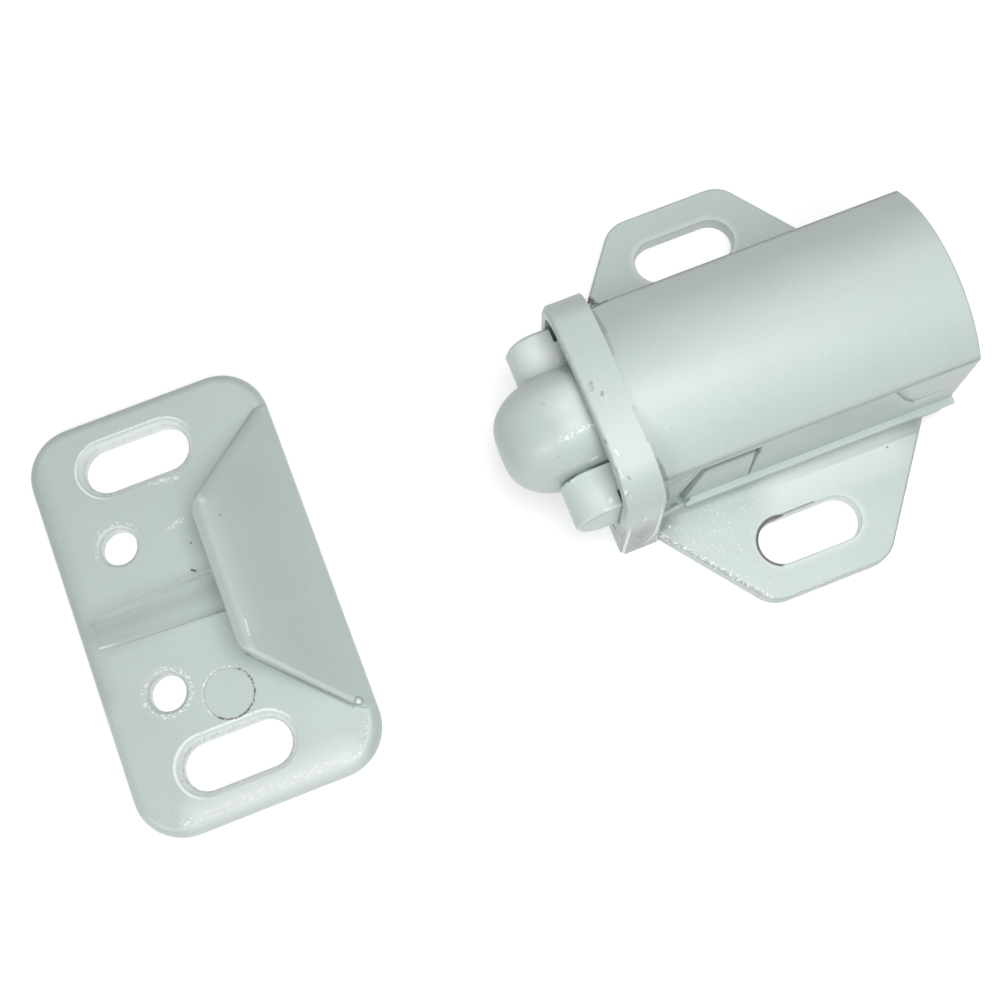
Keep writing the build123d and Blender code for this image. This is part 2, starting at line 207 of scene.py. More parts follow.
def coiled_wire(name, radius, wire, front, rear, active_turns, dead_turns, height):
    """A compression spring along X, of round wire whose own radius is given as wire. The
    centre line turns at a constant radius round the axis at the given height; its x rises by
    just over the wire's width a turn over the dead turns at each end, and evenly between them.
    Each section is a circle in the plane of the outward direction and the direction across it
    and the path. The first ring is at the front, and one face closes each cut end."""
    rings_per_turn, sides = 44, 14
    wire_radii_per_dead_turn = 2.05
    turns = active_turns + 2 * dead_turns
    t = np.linspace(0, turns, int(turns * rings_per_turn) + 1)
    knots = [0, dead_turns, dead_turns + active_turns, turns]
    closed = dead_turns * wire_radii_per_dead_turn * wire
    x = np.interp(t, knots, [front, front + closed, rear - closed, rear])
    angle = 2 * np.pi * t
    path = np.column_stack((x, radius * np.sin(angle), height + radius * np.cos(angle)))
    along = np.gradient(path, axis=0)
    along /= np.linalg.norm(along, axis=1)[:, None]
    outward = np.column_stack((np.zeros_like(t), np.sin(angle), np.cos(angle)))
    across = np.cross(along, outward)
    turn = np.linspace(0, 2 * np.pi, sides, endpoint=False)[:, None]
    circle = np.cos(turn) * outward[:, None] + np.sin(turn) * across[:, None]
    points = (path[:, None] + wire * circle).reshape(-1, 3)
    row = np.arange(len(t) - 1)[:, None] * sides
    next_row = row + sides
    here = np.arange(sides)
    after = (here + 1) % sides
    skin_faces = np.stack((row + here, row + after, next_row + after, next_row + here), axis=2)
    last = (len(t) - 1) * sides
    faces = skin_faces.reshape(-1, 4).tolist() + [here[::-1].tolist(), (last + here).tolist()]
    return mesh_piece(name, points * mm, faces, edge_above)


# Pieces

housing = moulded_copy("housing", "housing_moulding", soft_below)
plunger = moulded_copy("plunger", "plunger_moulding", soft_below)
strike = moulded_copy("strike_plate", "strike_moulding", soft_below)

# the roller, on its joint's axle: at each end (y, r) rows for the chamfered trunnion, the flat
# flank and the rounded rim, and between the rims a crown that falls off by a power curve
axle = np.array(joints["roller_spin"]["pos_m"]) / mm
crown_half, crown_top, crown_reach = 4.6, 6.9, 5.735
crown = np.linspace(-crown_half, crown_half, 61)
crown_radius = crown_top * (1 - np.abs(crown / crown_reach) ** 3.25) ** 0.625
end_profile = [(-6.75, 1.3), (-6.55, 1.5), (-4.75, 1.5), (-4.75, 3.9), (-4.73, 4.12), (-4.68, 4.35)]
profile = end_profile + list(zip(crown, crown_radius)) + [(-y, r) for y, r in end_profile[::-1]]
roller = turned_piece("roller_moulding", profile, axle, turns=96)
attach(roller, "roller_body")
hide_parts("roller")

# the spring, from the plunger's tube to the housing's closed end
spring = coiled_wire(
    "spring_wire",
    radius=2.85,
    wire=0.35,
    front=-9.6,
    rear=15.7,
    active_turns=6,
    dead_turns=0.9,
    height=axle[2],
)
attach(spring, "catch_body")
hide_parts("plunger_spring")
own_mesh(spring)


# Materials


def add_node(tree, kind, **values):
    """Adds one shader node; each keyword sets a property, or an input socket of that name."""
    node = tree.nodes.new(kind)
    for name, value in values.items():
        if hasattr(node, name):
            setattr(node, name, value)
        else:
            node.inputs[name.replace("_", " ")].default_value = value
    return node


def plug(tree, operand, socket):
    """Sets a socket to a number or vector, or links another node's socket to it."""
    if hasattr(operand, "is_output"):
        tree.links.new(operand, socket)
    else:
        socket.default_value = operand


def calculate(tree, operation, first, second=None, clamp=False):
    """One Math node on one or two operands. Returns the result's socket."""
    node = add_node(tree, "ShaderNodeMath", operation=operation, use_clamp=clamp)
    plug(tree, first, node.inputs[0])
    if second is not None:
        plug(tree, second, node.inputs[1])
    return node.outputs[0]


def vector_math(tree, operation, first, second):
    """One Vector Math node on two operands. Returns the node."""
    node = add_node(tree, "ShaderNodeVectorMath", operation=operation)
    plug(tree, first, node.inputs[0])
    plug(tree, second, node.inputs[1])
    return node


def vector_scaled(tree, vector, factor):
    """One Vector Math node that multiplies a vector by a number. Returns the result's socket."""
    node = add_node(tree, "ShaderNodeVectorMath", operation="SCALE")
    plug(tree, vector, node.inputs[0])
    plug(tree, factor, node.inputs["Scale"])
    return node.outputs[0]


def mix_colour(tree, factor, below, above):
    """One Mix node between two colours. Returns the result's socket."""
    below_socket, above_socket, result_socket = 6, 7, 2
    node = add_node(tree, "ShaderNodeMix", data_type="RGBA")
    plug(tree, factor, node.inputs["Factor"])
    plug(tree, below, node.inputs[below_socket])
    plug(tree, above, node.inputs[above_socket])
    return node.outputs[result_socket]


def new_group(name, inputs, outputs):
    """An empty node group with named sockets. Returns the group, its input and output nodes'
    sockets and the Object coordinates inside it."""
    group = bpy.data.node_groups.new(name, "ShaderNodeTree")
    for side, sockets in (("INPUT", inputs), ("OUTPUT", outputs)):
        for label, kind in sockets.items():
            group.interface.new_socket(label, in_out=side, socket_type="NodeSocket" + kind)
    given = group.nodes.new("NodeGroupInput").outputs
    result = group.nodes.new("NodeGroupOutput").inputs
    place = group.nodes.new("ShaderNodeTexCoord").outputs["Object"]
    return group, given, result, place


def moulded_skin_group():
    """The skin that every white moulding shares: a slow cloudiness in the tone, a fine
    satin grain in gloss and height, and a few dark specks where a cell's random number is high."""
    fine_share, gloss_swing, cloud_height = 0.7, 0.25, 2.0
    speck_above, speck_radius = 0.97, 0.055
    group, given, result, place = new_group(
        "moulded_skin",
        {"Tone": "Color", "Cloudiness": "Float", "Gloss": "Float", "Specks": "Float"},
        {"Color": "Color", "Roughness": "Float", "Height": "Float"},
    )
    cloud = add_node(group, "ShaderNodeTexNoise", Scale=160.0, Detail=4.0, Roughness=0.6)
    grain = add_node(group, "ShaderNodeTexNoise", Scale=2400.0, Detail=2.0, Roughness=0.6)
    cells = add_node(group, "ShaderNodeTexVoronoi", Scale=420.0)
    for texture in (cloud, grain, cells):
        group.links.new(place, texture.inputs["Vector"])

    # tone: the base colour times 1 plus cloudiness times the centred noises
    swing = calculate(group, "SUBTRACT", cloud.outputs["Fac"], 0.5)
    fine = calculate(group, "SUBTRACT", grain.outputs["Fac"], 0.5)
    both = calculate(group, "ADD", swing, calculate(group, "MULTIPLY", fine, fine_share))
    clouded = calculate(group, "ADD", calculate(group, "MULTIPLY", both, given["Cloudiness"]), 1.0)

    # specks: a small disc in the few cells whose random number passes the limit
    chosen = add_node(group, "ShaderNodeSeparateColor")
    group.links.new(cells.outputs["Color"], chosen.inputs[0])
    lucky = calculate(group, "GREATER_THAN", chosen.outputs[0], speck_above)
    near = calculate(group, "LESS_THAN", cells.outputs["Distance"], speck_radius)
    speck = calculate(group, "MULTIPLY", calculate(group, "MULTIPLY", lucky, near), given["Specks"])
    factor = calculate(group, "MULTIPLY", clouded, calculate(group, "SUBTRACT", 1.0, speck))
    group.links.new(vector_scaled(group, given["Tone"], factor), result["Color"])

    # gloss: the fine grain round its mean; height: the slow cloud and the fine grain together
    rough = calculate(group, "ADD", calculate(group, "MULTIPLY", fine, gloss_swing), given["Gloss"])
    group.links.new(rough, result["Roughness"])
    slow = calculate(group, "MULTIPLY", cloud.outputs["Fac"], cloud_height)
    group.links.new(calculate(group, "ADD", slow, grain.outputs["Fac"]), result["Height"])
    return group


def trace_group():
    """A trace on the surface. The distance from the point to the segment from Start to End,
    less Radius, is nought along a stadium round the segment, or along the segment itself for
    no radius. The mask falls from one there to nought at Width: it is that fall times Hard, and
    never more than one, so a Hard above one makes the edge crisp. It is broken up where the
    noise given as Grain is below Ragged, and fades out on the far side of the middle from
    Side, a vector whose length is the steepness of the fade."""
    break_steepness = 9.0
    least_length_squared = 1e-12
    group, given, result, place = new_group(
        "trace",
        {
            "Start": "Vector",
            "End": "Vector",
            "Radius": "Float",
            "Width": "Float",
            "Hard": "Float",
            "Grain": "Float",
            "Ragged": "Float",
            "Side": "Vector",
        },
        {"Mask": "Float"},
    )
    run = vector_math(group, "SUBTRACT", given["End"], given["Start"]).outputs[0]
    away = vector_math(group, "SUBTRACT", place, given["Start"]).outputs[0]
    along = vector_math(group, "DOT_PRODUCT", away, run).outputs["Value"]
    length_squared = vector_math(group, "DOT_PRODUCT", run, run).outputs["Value"]
    whole = calculate(group, "MAXIMUM", length_squared, least_length_squared)
    nearest = vector_scaled(group, run, calculate(group, "DIVIDE", along, whole, clamp=True))
    gap = vector_math(group, "DISTANCE", away, nearest).outputs["Value"]
    off = calculate(group, "ABSOLUTE", calculate(group, "SUBTRACT", gap, given["Radius"]))
    fall = calculate(group, "SUBTRACT", 1.0, calculate(group, "DIVIDE", off, given["Width"]))
    line = calculate(group, "MULTIPLY", fall, given["Hard"], clamp=True)
    over = calculate(group, "SUBTRACT", given["Grain"], given["Ragged"])
    kept = calculate(group, "ADD", calculate(group, "MULTIPLY", over, break_steepness), 0.5, clamp=True)
    broken = calculate(group, "MULTIPLY", line, kept)
    half_run = vector_math(group, "MULTIPLY", run, (0.5, 0.5, 0.5)).outputs[0]
    from_middle = vector_math(group, "SUBTRACT", away, half_run).outputs[0]
    lean = vector_math(group, "DOT_PRODUCT", from_middle, given["Side"]).outputs["Value"]
    fade = calculate(group, "ADD", lean, 1.0, clamp=True)
    group.links.new(calculate(group, "MULTIPLY", broken, fade), result["Mask"])
    return group


def sparkle_group():
    """Scattered painted glints: the point's offset from Centre over Reach gives a falloff from
    one to nought, and a small disc shows in each cell whose random number is below Density
    times that falloff. A fine noise bends the cells. The mask is a half in a disc."""
    bend, disc_radius, disc_mask = 0.0006, 0.27, 0.5
    group, given, result, place = new_group(
        "sparkle", {"Centre": "Vector", "Reach": "Vector", "Density": "Float"}, {"Mask": "Float"}
    )
    away = vector_math(group, "SUBTRACT", place, given["Centre"]).outputs[0]
    scaled = vector_math(group, "DIVIDE", away, given["Reach"]).outputs[0]
    gap = add_node(group, "ShaderNodeVectorMath", operation="LENGTH")
    group.links.new(scaled, gap.inputs[0])
    falloff = calculate(group, "SUBTRACT", 1.0, gap.outputs["Value"], clamp=True)
    ripple = add_node(group, "ShaderNodeTexNoise", Scale=2500.0, Detail=1.0)
    group.links.new(place, ripple.inputs["Vector"])
    bent = vector_scaled(group, ripple.outputs["Color"], bend)
    cells = add_node(group, "ShaderNodeTexVoronoi", Scale=3000.0)
    group.links.new(vector_math(group, "ADD", place, bent).outputs[0], cells.inputs["Vector"])
    chosen = add_node(group, "ShaderNodeSeparateColor")
    group.links.new(cells.outputs["Color"], chosen.inputs[0])
    odds = calculate(group, "MULTIPLY", falloff, given["Density"])
    lucky = calculate(group, "LESS_THAN", chosen.outputs[0], odds)
    near = calculate(group, "LESS_THAN", cells.outputs["Distance"], disc_radius)
    found = calculate(group, "MULTIPLY", lucky, near)
    group.links.new(calculate(group, "MULTIPLY", found, disc_mask), result["Mask"])
    return group


skin = moulded_skin_group()
trace = trace_group()
sparkle = sparkle_group()


def in_metres(lengths):
    """Three lengths in millimetres, made metres."""
    return [length * mm for length in lengths]


def place_trace(
    tree, grain, start, end=None, radius=0.0, width=0.15, ragged=-1.0, side=(0, 0, 0), strength=1.0
):
    """One trace in a material, its lengths in millimetres; narrow ones are crisp and those of
    the soft width or more are soft. Returns its mask times its strength."""
    soft_width, crisp, soft = 0.8, 2.0, 1.0
    node = add_node(
        tree,
        "ShaderNodeGroup",
        node_tree=trace,
        Start=in_metres(start),
        End=in_metres(end or start),
        Radius=radius * mm,
        Width=width * mm,
        Hard=crisp if width < soft_width else soft,
        Ragged=ragged,
        Side=[steepness / mm for steepness in side],
    )
    tree.links.new(grain, node.inputs["Grain"])
    return calculate(tree, "MULTIPLY", node.outputs["Mask"], strength)


def place_sparkle(tree, centre, reach, density):
    """One patch of painted glints in a material, its lengths in millimetres. Returns its mask."""
    node = add_node(
        tree,
        "ShaderNodeGroup",
        node_tree=sparkle,
        Centre=in_metres(centre),
        Reach=in_metres(reach),
        Density=density,
    )
    return node.outputs["Mask"]


def strongest(tree, masks):
    """The largest of several masks at each point, or nought where there is none."""
    total = None
    for mask in masks:
        total = mask if total is None else calculate(tree, "MAXIMUM", total, mask)
    return 0.0 if total is None else total


def new_material(name):
    """A new node material. Returns it, its node tree and the inputs of its shader."""
    material = bpy.data.materials.new(name)
    material.use_nodes = True
    tree = material.node_tree
    return material, tree, tree.nodes["Principled BSDF"].inputs


def object_noise(tree, **values):
    """A Noise texture on Object coordinates. Returns its value's socket."""
    noise = add_node(tree, "ShaderNodeTexNoise", **values)
    tree.links.new(add_node(tree, "ShaderNodeTexCoord").outputs["Object"], noise.inputs["Vector"])
    return noise.outputs["Fac"]


def white_plastic(name, tone, gloss=0.34, painted_highlights=(), shaded=(), marks_and_gap_shade=(), painted_glints=()):
    """Satin moulded plastic: the shared skin, then painted highlights and glints that are paler
    and glossier, soft traces of painted shade such as recesses have and a few dark specks, and
    brown-black marks, some of them painted shade in gaps."""
    # painted shade, painted highlights and glints, and the brown-black marks and gap shade each mix the
    # colour towards one of these tones
    shaded_tone = (0.16, 0.19, 0.18, 1)
    highlight_tone = (0.93, 0.97, 0.95, 1)
    mark_and_gap_shade_tone = (0.05, 0.03, 0.02, 1)
    shine_above, shine_depth = 0.5, 0.3
    material, tree, shader = new_material(name)
    moulded = add_node(
        tree,
        "ShaderNodeGroup",
        node_tree=skin,
        Tone=(*tone, 1),
        Cloudiness=0.10,
        Gloss=gloss,
        Specks=0.6,
    )
    grain = object_noise(tree, Scale=3000.0, Detail=2.0, Roughness=0.7)

    def traces(rows):
        """The masks of a table's traces."""
        return [place_trace(tree, grain, **row) for row in rows]

    light = strongest(tree, traces(painted_highlights) + [place_sparkle(tree, *row) for row in painted_glints])
    shade = strongest(tree, traces(shaded))
    mark_and_gap_shade = strongest(tree, traces(marks_and_gap_shade))
    # the colour: painted shade first, then painted highlights and glints, then brown-black marks and painted
    # gap shade
    colour = mix_colour(tree, shade, moulded.outputs["Color"], shaded_tone)
    colour = mix_colour(tree, light, colour, highlight_tone)
    colour = mix_colour(tree, mark_and_gap_shade, colour, mark_and_gap_shade_tone)
    tree.links.new(colour, shader["Base Color"])

    # only the brighter half of the light mask adds gloss
    above = calculate(tree, "SUBTRACT", light, shine_above, clamp=True)
    shine = calculate(tree, "MULTIPLY", above, shine_depth)
    rough = calculate(tree, "SUBTRACT", moulded.outputs["Roughness"], shine)
    tree.links.new(rough, shader["Roughness"])
    bump = add_node(tree, "ShaderNodeBump", Strength=0.25, Distance=0.00003)
    tree.links.new(moulded.outputs["Height"], bump.inputs["Height"])
    tree.links.new(bump.outputs["Normal"], shader["Normal"])
    shader["IOR"].default_value = 1.5
    return material


def drawn_steel(name):
    """Bright drawn wire: fine grain in a polished metal, a little darker in patches."""
    dark_steel = (0.42, 0.42, 0.43, 1)
    pale_steel = (0.66, 0.66, 0.66, 1)
    least_roughness, roughness_swing = 0.16, 0.2
    material, tree, shader = new_material(name)
    grain = object_noise(tree, Scale=900.0, Detail=4.0, Roughness=0.6)
    tree.links.new(mix_colour(tree, grain, dark_steel, pale_steel), shader["Base Color"])
    swing = calculate(tree, "MULTIPLY", grain, roughness_swing)
    tree.links.new(calculate(tree, "ADD", swing, least_roughness), shader["Roughness"])
    shader["Metallic"].default_value = 1.0
    return material


def along_slot(slot, y, z, **look):
    """A trace along a slot, from one end of its middle line to the other, at y and z."""
    return dict(start=(slot[0], y, z), end=(slot[1], y, z), **look)


# The tables of marks hold one trace a row, in millimetres in the part's frame. Most places were
# worked out by a ray-cast of points picked in the photograph, through the camera below onto the
# model, and don't follow a change of size. Widths and strengths were set one by one.
housing_slot = (-3.0, 3.0)
strike_slot = (-63.4, -57.2)

housing_tone = (0.585, 0.670, 0.640)
plunger_tone = (0.640, 0.725, 0.695)
roller_tone = (0.568, 0.650, 0.621)
strike_tone = (0.573, 0.657, 0.628)

# painted highlights: lines of light where a rim or a flow mark catches it, glints, soft pools of light, and
# each slot's wall painted as lit through the plastic
housing_painted_highlights = [
    dict(start=(-17.3, -6.1, 19.3), end=(-17.4, -5.6, 19.4), width=0.1, ragged=0.4),
    dict(start=(-17.9, -9.35, 17.8), end=(-17.75, -9.2, 18.1), width=0.16),
    dict(start=(-16.1, -10.9, 12.1), end=(-16.2, -10.9, 11.1), width=0.16),
    dict(start=(-12.8, -10.6, 2.0), width=0.18),
    dict(start=(-17.88, -11.05, 0.05), end=(-17.62, -10.98, 9.6), width=0.17),
    dict(start=(-15.65, -11.16, 1.57), end=(-15.08, -11.13, 2.77), width=0.16, strength=0.8),
    dict(start=(-15.08, -11.13, 2.77), end=(-14.66, -11.09, 4.55), width=0.16),
    dict(start=(-14.66, -11.09, 4.55), end=(-14.55, -10.93, 10.85), width=0.16, strength=0.9),
    dict(start=(-14.55, -10.93, 10.85), end=(-14.64, -10.7, 15.5), width=0.14, strength=0.5),
    dict(start=(-18.05, -7.3, 18.7), end=(-17.86, -9.2, 17.98), width=0.09, ragged=0.42, strength=0.7),
    dict(start=(-17.72, -6.4, 19.15), end=(-17.67, -7.93, 18.88), width=0.08, ragged=0.42, strength=0.6),
    dict(start=(-17.67, -7.93, 18.88), end=(-17.49, -9.75, 17.66), width=0.09, ragged=0.42, strength=0.8),
    dict(start=(-18.1, 1.6, 19.5), end=(-18.1, 6.5, 18.9), width=0.25, ragged=0.5, strength=0.5),
    dict(start=(-17.0, 0.3, 19.8), end=(-16.4, -0.9, 19.8), width=0.6, ragged=0.62, strength=0.45),
    dict(start=(-14.8, -10.3, 1.9), end=(-6.6, -20.9, 1.9), width=0.62, ragged=0.54),
    dict(start=(-6.2, -21.3, 1.9), end=(5.5, -21.4, 1.9), width=0.14, ragged=0.56, strength=0.7),
    dict(start=(7.0, -20.5, 1.9), end=(14.6, -11.0, 1.9), width=0.12, ragged=0.56, strength=0.6),
    dict(start=(-4.35, -8.97, 8.4), width=0.26),
    dict(start=(-1.0, -11.1, 2.0), end=(10.5, -10.8, 2.0), width=3.6, strength=0.6),
    along_slot(housing_slot, -16.0, 1.0, radius=2.45, width=0.8, strength=0.45),
    along_slot(housing_slot, 16.0, 1.0, radius=2.45, width=0.8, strength=0.5),
    dict(start=(-8.6, -8.9, 9.4), end=(-5.0, -8.9, 9.4), width=3.4, strength=0.26),
    dict(start=(-12.9, -9.4, 2.75), end=(-10.9, -9.3, 3.3), width=0.26, strength=0.5),
    dict(start=(-10.3, -9.15, 13.6), end=(-12.4, -9.15, 6.0), width=0.9, strength=0.2),
]
# painted shade: the dark of creases, steps, the window and the rear recess, the shadow under the ledge, and
# the shade on the collar's near side and the near ear's edge, with a few dark specks and smudges
housing_shaded = [
    dict(start=(-9.2, -8.85, 12.4), end=(-4.2, -8.85, 12.4), width=0.79, strength=0.5),
    dict(start=(11.0, -9.0, 12.2), end=(17.5, -9.0, 11.6), width=3.6, strength=0.1),
    dict(start=(-16.5, -0.3, 19.8), end=(-16.6, -0.5, 19.8), width=0.2, ragged=0.3, strength=0.6),
    dict(start=(-17.9, -4.45, 19.3), end=(-17.7, -4.8, 19.25), width=0.2, ragged=0.3, strength=0.5),
    dict(start=(-17.1, 0.9, 19.8), end=(-17.3, 0.3, 19.8), width=0.3, ragged=0.5, strength=0.45),
    dict(start=(-11.74, -5.37, 18.5), width=0.1, strength=0.5),
    dict(start=(-17.2, -8.2, 18.8), end=(-17.1, -8.4, 18.7), width=0.14, strength=0.5),
    dict(start=(-16.2, -11.05, 2.0), end=(-16.2, -11.0, 6.5), width=4.6, strength=0.62),
    dict(start=(-13.9, 8.3, 16.4), end=(-13.9, 5.4, 18.5), width=0.36, strength=0.4),
    dict(start=(-13.9, 5.4, 18.5), end=(-14.2, 2.9, 19.35), width=0.3, strength=0.24),
    dict(start=(-14.4, -2.6, 19.7), end=(-14.3, -5.8, 19.3), width=0.22, strength=0.24),
    dict(start=(-14.3, -5.8, 19.3), end=(-13.8, -7.9, 16.9), width=0.26, strength=0.4),
    dict(start=(-13.8, -7.9, 16.9), end=(-13.65, -8.9, 15.9), width=0.3, strength=0.5),
    dict(start=(-13.65, -8.9, 15.9), end=(-12.85, -9.15, 7.5), width=0.3, strength=0.5),
    dict(start=(-17.95, -7.0, 18.95), end=(-17.68, -9.5, 17.85), width=0.13, strength=0.35),
    dict(start=(-13.2, -9.15, 13.8), end=(-10.5, -9.15, 15.3), width=0.34, strength=0.3),
    dict(start=(-10.5, -9.15, 15.0), end=(-12.9, -9.15, 5.0), width=0.16, strength=0.4),
    dict(start=(-12.9, -9.15, 3.6), end=(-11.6, -9.15, 3.9), width=0.36, ragged=0.3, strength=0.6),
    dict(start=(-13.0, -9.6, 2.5), end=(17.0, -9.85, 2.35), width=0.5, strength=0.2),
    dict(start=(-13.6, -10.4, 2.0), end=(-12.9, -9.9, 2.2), width=1.6, strength=0.4),
    dict(start=(-14.2, -10.8, 1.9), end=(-6.8, -20.6, 1.9), width=0.34, ragged=0.42, strength=0.55),
]
# brown-black marks: specks, lines round the near ear's slot and along its edge, and painted shade where gaps
# beside the collar show dark
housing_marks_and_gap_shade = [
    dict(start=(10.57, -11.1, 2.0), width=0.14, strength=0.7),
    dict(start=(-13.9, 9.0, 15.9), end=(-12.4, 9.1, 15.6), width=0.6, ragged=0.42, strength=0.9),
    dict(start=(-11.3, 14.8, 1.9), end=(-10.9, 14.0, 2.0), width=0.5, ragged=0.42, strength=0.8),
    dict(start=(-18.1, -8.2, 2.7), end=(-18.1, -9.2, 3.7), width=0.5, ragged=0.44, strength=0.8),
    dict(start=(-18.1, -9.6, 4.4), end=(-18.0, -10.4, 5.6), width=0.3, ragged=0.52, strength=0.6),
    dict(start=(-16.6, -11.0, 5.4), end=(-16.2, -11.0, 4.6), width=0.3, ragged=0.5, strength=0.4),
    dict(start=(-3.0, -16.0, 2.0), radius=2.5, width=0.2, side=(-2, 1, 0), strength=0.85),
    dict(start=(-3.5, -13.55, 2.0), end=(1.5, -13.52, 2.0), width=0.12, ragged=0.36, strength=0.6),
    dict(start=(-1.0, -21.5, 1.2), end=(7.3, -20.3, 1.2), width=0.34, ragged=0.45, strength=0.5),
]
# painted glints: patches of scattered sparkle on the near ear and on the collar's near side
housing_painted_glints = [((-9.0, -13.8, 2.0), (9.0, 8.0, 2.0), 0.6), ((-15.5, -10.9, 5.0), (3.0, 1.0, 6.0), 0.25)]

# painted highlights and glints on the arms
plunger_painted_highlights = [
    dict(start=(-18.8, -8.6, 13.7), end=(-18.7, -8.35, 13.7), width=0.24),
    dict(start=(-18.9, 6.8, 13.7), end=(-19.8, 7.2, 13.5), width=2.6, strength=0.7),
    dict(start=(-18.3, 5.8, 13.7), end=(-18.2, 6.3, 13.7), width=0.24, strength=0.9),
    dict(start=(-21.2, -5.2, 12.9), end=(-17.6, -5.1, 13.6), width=0.24, ragged=0.4),
    dict(start=(-19.6, -9.2, 13.6), end=(-17.9, -9.2, 13.6), width=0.2, ragged=0.36, strength=0.7),
    dict(start=(-19.4, -7.6, 13.7), end=(-18.6, -7.2, 13.7), width=2.2, strength=0.4),
]
# a brown-black smudge by the gap beside the roller
plunger_dark_marks = [
    dict(start=(-21.55, -5.05, 12.6), end=(-20.95, -5.0, 12.95), width=0.26, ragged=0.46, strength=0.7),
]
# painted highlights: glints along the seam, a soft highlight on the crown and glints below it
roller_painted_highlights = [
    dict(start=(-21.2, -2.5, 17.75), end=(-17.6, -2.2, 17.95), width=0.4, ragged=0.57),
    dict(start=(-23.9, -2.7, 16.4), end=(-21.2, -2.5, 17.75), width=0.18, ragged=0.62, strength=0.6),
    dict(start=(-19.8, 0.3, 18.2), width=2.4, strength=0.32),
    dict(start=(-22.5, -4.6, 14.6), end=(-20.5, -4.6, 15.5), width=0.36, ragged=0.6, strength=0.7),
    dict(start=(-19.2, -4.7, 15.4), end=(-18.7, -4.7, 15.6), width=0.3, ragged=0.3),
]
roller_shaded = [
    dict(start=(-22.07, -3.61, 16.65), width=0.1, strength=0.7),
    dict(start=(-21.48, 1.06, 17.92), end=(-21.7, 1.3, 17.85), width=0.14, ragged=0.5, strength=0.4),
]

# painted highlights on the rims of slots and holes and their burr rings, the slots' walls, the channel's
# near edge, the near end's rim and the ramp's crest
strike_painted_highlights = [
    along_slot(strike_slot, 16, 2, radius=3.15, width=0.14, ragged=0.36, side=(-0.22, 0.5, 0)),
    along_slot(strike_slot, -16, 2, radius=3.15, width=0.17, ragged=0.36, side=(-0.22, 0.5, 0)),
    along_slot(strike_slot, -16, 0.9, radius=2.45, width=0.7, ragged=0.38, strength=0.7),
    along_slot(strike_slot, 16, 0.9, radius=2.45, width=0.7, ragged=0.3, strength=0.65),
    dict(start=(-64.75, -7.85, 1), radius=1.9, width=0.5, strength=0.55),
    dict(start=(-64.75, 7.85, 1), radius=1.9, width=0.5, strength=0.55),
    dict(start=(-64.75, -7.85, 2), radius=2.35, width=0.36, ragged=0.56),
    dict(start=(-64.75, 7.85, 2), radius=2.4, width=0.26, ragged=0.6, side=(-0.5, 0.6, 0)),
    dict(start=(-59.7, 12.9, 2), end=(-57.1, 12.4, 2), width=0.3, ragged=0.52),
    dict(start=(-59.4, 7.7, 2), end=(-57.9, 8.1, 2), width=0.3, ragged=0.5),
    dict(start=(-59.12, -10.15, 2), radius=2.62, width=0.12, ragged=0.54, side=(-0.6, 0.9, 0)),
    dict(start=(-65.5, -20.2, 2.0), end=(-50.5, -20.2, 2.0), width=2.6, strength=0.55),
    dict(start=(-67.0, -20.4, 1.95), end=(-49.5, -20.2, 1.95), width=0.7, ragged=0.55),
    dict(start=(-49.2, -20.2, 1.8), end=(-47.3, -17.5, 1.8), width=0.6, ragged=0.6, strength=0.8),
    dict(start=(-69.6, -1.32, 2), end=(-57.6, -2.05, 1.97), width=0.13, ragged=0.3, strength=0.9),
    dict(start=(-54.9, -7.4, 7.5), end=(-47.9, -15.2, 2.9), width=0.13, strength=0.7),
    dict(start=(-47.5, -15.65, 2.75), width=0.28),
    dict(start=(-54.6, -5.1, 7.6), end=(-54.75, -6.7, 7.6), width=0.13, ragged=0.42, strength=0.8),
    dict(start=(-54.3, -5.8, 7.4), end=(-54.3, 6.5, 7.4), width=1.5, strength=0.16),
    dict(start=(-54.6, 7.4, 7.6), width=0.5, strength=0.3),
]
# painted shade: the channel's floor and edges, the ramp's crest, flank and foot, the plate's far end, and
# the dark rims of the ejector mark, the bead and a hole's burr ring
strike_shaded = [
    dict(start=(-69.5, 0.3, 1.9), end=(-57.0, 0.4, 1.45), width=3.2, strength=0.32),
    dict(start=(-69.7, 1.2, 2), end=(-57.3, 2.0, 1.8), width=1.2, strength=0.36),
    dict(start=(-69.2, -0.9, 1.9), end=(-57.6, -1.7, 1.5), width=0.45, strength=0.24),
    dict(start=(-59.12, -10.15, 2), radius=2.45, width=0.08, ragged=0.48, strength=0.36),
    dict(start=(-47.5, -15.65, 2.75), radius=0.42, width=0.11, strength=0.5),
    dict(start=(-55.3, 7.2, 7.5), end=(-55.3, -7.2, 7.5), width=1.0, strength=0.32),
    dict(start=(-55.0, 8.2, 7.2), end=(-47.5, 15.9, 2.6), width=1.1, strength=0.28),
    dict(start=(-56.2, -7.1, 2), end=(-48.2, -15.8, 2), width=0.26, strength=0.42),
    dict(start=(-51.0, 9.0, 4.5), end=(-51.0, -10.0, 4.5), width=6.0, strength=0.09),
    dict(start=(-64.75, -7.85, 2), radius=2.05, width=0.14, ragged=0.45, strength=0.5),
    dict(start=(-70.8, 18.0, 1.5), end=(-70.8, -6.0, 1.5), width=2.0, strength=0.2),
]
